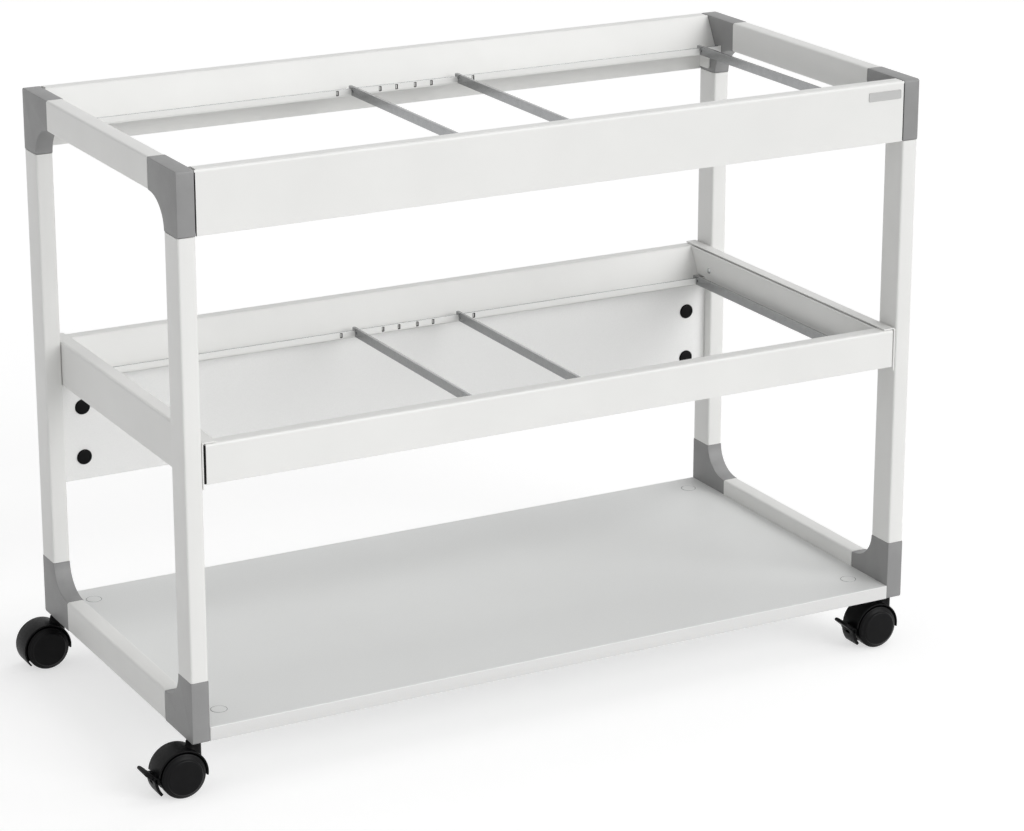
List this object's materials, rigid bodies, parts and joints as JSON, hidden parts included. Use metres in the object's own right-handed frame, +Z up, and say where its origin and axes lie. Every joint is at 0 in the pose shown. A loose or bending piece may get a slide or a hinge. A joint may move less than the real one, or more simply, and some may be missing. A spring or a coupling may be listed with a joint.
{
  "type": "suspension file trolley",
  "caption": "Wheeled suspension-file trolley: tubular end frames with corner connectors, upper and middle file rails with lift-out cross bars, bottom shelf, braked castors.",
  "frame": {"origin": "on the floor, under the middle of the outline with the castors at rest", "axes": "+X along the trolley to the right seen from the front, front faces -Y, +Z up"},
  "size_m": [0.948, 0.4406, 0.677],
  "materials": {
    "painted_steel": "light grey satin powder coat",
    "grey_plastic": "mid grey satin moulding",
    "laminate_board": "light grey melamine facing",
    "galvanised_steel": "galvanised, reflective",
    "bright_steel": "bright turned",
    "black_plastic": "black satin moulding",
    "wheel_plastic": "black, slightly glossy"
  },
  "bodies": {
    "frame": {"bottom_shelf": "laminate_board", "front_left_castor_stem": "bright_steel", "front_left_leg": "painted_steel", "front_right_castor_stem": "bright_steel", "front_right_leg": "painted_steel", "lower_front_left_connector": "grey_plastic", "lower_front_right_connector": "grey_plastic", "lower_left_cross_tube": "painted_steel", "lower_rear_left_connector": "grey_plastic", "lower_rear_right_connector": "grey_plastic", "lower_right_cross_tube": "painted_steel", "middle_front_file_rail": "painted_steel", "middle_left_end_cover": "painted_steel", "middle_left_end_wall": "painted_steel", "middle_rear_file_rail": "painted_steel", "middle_right_end_cover": "painted_steel", "middle_right_end_wall": "painted_steel", "rear_board": "laminate_board", "rear_board_left_lower_cap": "black_plastic", "rear_board_left_upper_cap": "black_plastic", "rear_board_right_lower_cap": "black_plastic", "rear_board_right_upper_cap": "black_plastic", "rear_left_castor_stem": "bright_steel", "rear_left_leg": "painted_steel", "rear_right_castor_stem": "bright_steel", "rear_right_leg": "painted_steel", "top_front_file_rail": "painted_steel", "top_rear_file_rail": "painted_steel", "upper_front_left_connector": "grey_plastic", "upper_front_right_connector": "grey_plastic", "upper_left_cross_tube": "painted_steel", "upper_rear_left_connector": "grey_plastic", "upper_rear_right_connector": "grey_plastic", "upper_right_cross_tube": "painted_steel"},
    "top_left_end_bar": {"top_left_end_cross_bar": "galvanised_steel"},
    "top_left_middle_bar": {"top_left_middle_cross_bar": "galvanised_steel"},
    "top_right_middle_bar": {"top_right_middle_cross_bar": "galvanised_steel"},
    "top_right_end_bar": {"top_right_end_cross_bar": "galvanised_steel"},
    "middle_left_end_bar": {"middle_left_end_cross_bar": "galvanised_steel"},
    "middle_left_middle_bar": {"middle_left_middle_cross_bar": "galvanised_steel"},
    "middle_right_middle_bar": {"middle_right_middle_cross_bar": "galvanised_steel"},
    "middle_right_end_bar": {"middle_right_end_cross_bar": "galvanised_steel"},
    "front_left_castor": {"front_left_castor_housing": "black_plastic", "front_left_castor_axle": "bright_steel"},
    "front_left_castor_front_wheel": {"front_left_castor_front_wheel": "wheel_plastic"},
    "front_left_castor_rear_wheel": {"front_left_castor_rear_wheel": "wheel_plastic"},
    "front_left_castor_brake_lever": {"front_left_castor_brake_lever": "black_plastic"},
    "front_right_castor": {"front_right_castor_housing": "black_plastic", "front_right_castor_axle": "bright_steel"},
    "front_right_castor_front_wheel": {"front_right_castor_front_wheel": "wheel_plastic"},
    "front_right_castor_rear_wheel": {"front_right_castor_rear_wheel": "wheel_plastic"},
    "front_right_castor_brake_lever": {"front_right_castor_brake_lever": "black_plastic"},
    "rear_left_castor": {"rear_left_castor_housing": "black_plastic", "rear_left_castor_axle": "bright_steel"},
    "rear_left_castor_front_wheel": {"rear_left_castor_front_wheel": "wheel_plastic"},
    "rear_left_castor_rear_wheel": {"rear_left_castor_rear_wheel": "wheel_plastic"},
    "rear_right_castor": {"rear_right_castor_housing": "black_plastic", "rear_right_castor_axle": "bright_steel"},
    "rear_right_castor_front_wheel": {"rear_right_castor_front_wheel": "wheel_plastic"},
    "rear_right_castor_rear_wheel": {"rear_right_castor_rear_wheel": "wheel_plastic"}
  },
  "joints": [
    {"name": "top_left_end_bar_lift", "type": "slide", "parent": "frame", "child": "top_left_end_bar", "axis": [0, 0, 1], "range_m": [0, 0.055]},
    {"name": "top_left_middle_bar_lift", "type": "slide", "parent": "frame", "child": "top_left_middle_bar", "axis": [0, 0, 1], "range_m": [0, 0.055]},
    {"name": "top_right_middle_bar_lift", "type": "slide", "parent": "frame", "child": "top_right_middle_bar", "axis": [0, 0, 1], "range_m": [0, 0.055]},
    {"name": "top_right_end_bar_lift", "type": "slide", "parent": "frame", "child": "top_right_end_bar", "axis": [0, 0, 1], "range_m": [0, 0.055]},
    {"name": "middle_left_end_bar_lift", "type": "slide", "parent": "frame", "child": "middle_left_end_bar", "axis": [0, 0, 1], "range_m": [0, 0.055]},
    {"name": "middle_left_middle_bar_lift", "type": "slide", "parent": "frame", "child": "middle_left_middle_bar", "axis": [0, 0, 1], "range_m": [0, 0.055]},
    {"name": "middle_right_middle_bar_lift", "type": "slide", "parent": "frame", "child": "middle_right_middle_bar", "axis": [0, 0, 1], "range_m": [0, 0.055]},
    {"name": "middle_right_end_bar_lift", "type": "slide", "parent": "frame", "child": "middle_right_end_bar", "axis": [0, 0, 1], "range_m": [0, 0.055]},
    {"name": "front_left_castor_swivel", "type": "hinge", "parent": "frame", "child": "front_left_castor", "pos_m": [-0.41198, -0.1995, 0.057], "axis": [0, 0, 1], "continuous": true},
    {"name": "front_left_castor_front_wheel_spin", "type": "hinge", "parent": "front_left_castor", "child": "front_left_castor_front_wheel", "pos_m": [-0.43198, -0.1995, 0.025], "axis": [0, 1, 0], "continuous": true},
    {"name": "front_left_castor_rear_wheel_spin", "type": "hinge", "parent": "front_left_castor", "child": "front_left_castor_rear_wheel", "pos_m": [-0.43198, -0.1995, 0.025], "axis": [0, 1, 0], "continuous": true},
    {"name": "front_left_castor_brake_press", "type": "hinge", "parent": "front_left_castor", "child": "front_left_castor_brake_lever", "pos_m": [-0.46106, -0.1995, 0.02398], "axis": [0, -1, 0], "range_deg": [0, 10]},
    {"name": "front_right_castor_swivel", "type": "hinge", "parent": "frame", "child": "front_right_castor", "pos_m": [0.46402, -0.1995, 0.057], "axis": [0, 0, 1], "continuous": true},
    {"name": "front_right_castor_front_wheel_spin", "type": "hinge", "parent": "front_right_castor", "child": "front_right_castor_front_wheel", "pos_m": [0.44402, -0.1995, 0.025], "axis": [0, 1, 0], "continuous": true},
    {"name": "front_right_castor_rear_wheel_spin", "type": "hinge", "parent": "front_right_castor", "child": "front_right_castor_rear_wheel", "pos_m": [0.44402, -0.1995, 0.025], "axis": [0, 1, 0], "continuous": true},
    {"name": "front_right_castor_brake_press", "type": "hinge", "parent": "front_right_castor", "child": "front_right_castor_brake_lever", "pos_m": [0.41494, -0.1995, 0.02398], "axis": [0, -1, 0], "range_deg": [0, 10]},
    {"name": "rear_left_castor_swivel", "type": "hinge", "parent": "frame", "child": "rear_left_castor", "pos_m": [-0.41198, 0.1995, 0.057], "axis": [0, 0, 1], "continuous": true},
    {"name": "rear_left_castor_front_wheel_spin", "type": "hinge", "parent": "rear_left_castor", "child": "rear_left_castor_front_wheel", "pos_m": [-0.43198, 0.1995, 0.025], "axis": [0, 1, 0], "continuous": true},
    {"name": "rear_left_castor_rear_wheel_spin", "type": "hinge", "parent": "rear_left_castor", "child": "rear_left_castor_rear_wheel", "pos_m": [-0.43198, 0.1995, 0.025], "axis": [0, 1, 0], "continuous": true},
    {"name": "rear_right_castor_swivel", "type": "hinge", "parent": "frame", "child": "rear_right_castor", "pos_m": [0.46402, 0.1995, 0.057], "axis": [0, 0, 1], "continuous": true},
    {"name": "rear_right_castor_front_wheel_spin", "type": "hinge", "parent": "rear_right_castor", "child": "rear_right_castor_front_wheel", "pos_m": [0.44402, 0.1995, 0.025], "axis": [0, 1, 0], "continuous": true},
    {"name": "rear_right_castor_rear_wheel_spin", "type": "hinge", "parent": "rear_right_castor", "child": "rear_right_castor_rear_wheel", "pos_m": [0.44402, 0.1995, 0.025], "axis": [0, 1, 0], "continuous": true}
  ]
}
